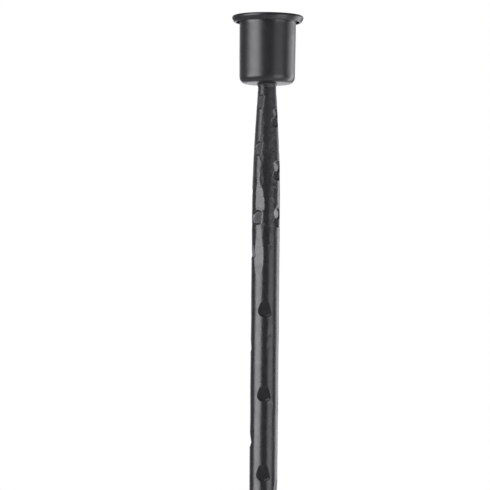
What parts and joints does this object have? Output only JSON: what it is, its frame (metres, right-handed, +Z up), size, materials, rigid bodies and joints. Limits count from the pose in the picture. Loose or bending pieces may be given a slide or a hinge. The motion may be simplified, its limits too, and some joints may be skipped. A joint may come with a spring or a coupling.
{
  "type": "tiki torch",
  "caption": "Hammered steel garden torch: drawn cup with a rolled rim welded to a tapered tube pole, lift-out oil lamp inside, sleeve joint and ground spike with a foot plate.",
  "frame": {"origin": "on the pole's axis at ground level, where the spike leaves the foot plate's underside", "axes": "+Z up along the pole, -Y the front, +X to the right seen from the front"},
  "size_m": [0.113, 0.0654, 1.524],
  "materials": {
    "satin_black": "satin black paint over hammered steel",
    "plain_steel": "plated, slightly dull",
    "brass": "turned, slightly aged",
    "rubber": "matt",
    "wick_fibre": "braided fibreglass"
  },
  "bodies": {
    "lower_section": {"lower_pole": "satin_black", "clamp_nut": "satin_black", "bottom_plug": "satin_black", "plug_weld": "satin_black", "foot_plate": "satin_black", "ground_spike": "satin_black", "side_tines": "satin_black"},
    "upper_section": {"upper_pole": "satin_black", "joining_sleeve": "plain_steel", "sleeve_rivets": "satin_black", "cup": "satin_black", "cup_weld": "satin_black"},
    "screw": {"clamp_screw": "plain_steel"},
    "bar": {"tommy_bar": "plain_steel"},
    "lamp": {"canister": "plain_steel", "canister_top": "plain_steel"},
    "burner": {"wick_holder": "plain_steel", "wick_tube": "brass", "gasket": "rubber", "wick": "wick_fibre"},
    "ring": {"screw_ring": "brass"},
    "cap": {"snuffer": "brass", "snuffer_knob": "brass"}
  },
  "joints": [
    {"name": "pole_pull", "type": "slide", "parent": "lower_section", "child": "upper_section", "axis": [0, 0, 1], "range_m": [0, 0.1]},
    {"name": "screw_turn", "type": "hinge", "parent": "lower_section", "child": "screw", "pos_m": [0, 0.0257, 0.615], "axis": [0, 1, 0], "range_deg": [0, 720]},
    {"name": "bar_slide", "type": "slide", "parent": "screw", "child": "bar", "axis": [1, 0, 0], "range_m": [-0.0125, 0.0125]},
    {"name": "lamp_lift", "type": "slide", "parent": "upper_section", "child": "lamp", "axis": [0, 0, 1], "range_m": [0, 0.075]},
    {"name": "ring_turn", "type": "hinge", "parent": "burner", "child": "ring", "pos_m": [0, 0, 1.25], "axis": [0, 0, 1], "range_deg": [0, 900]},
    {"name": "burner_lift", "type": "slide", "parent": "lamp", "child": "burner", "axis": [0, 0, 1], "range_m": [0, 0.005]},
    {"name": "cap_lift", "type": "slide", "parent": "burner", "child": "cap", "axis": [0, 0, 1], "range_m": [0, 0.03]}
  ],
  "couplings": [
    {"joint": "burner_lift", "follows": "ring_turn", "m_per_rad": 0.00031831}
  ]
}
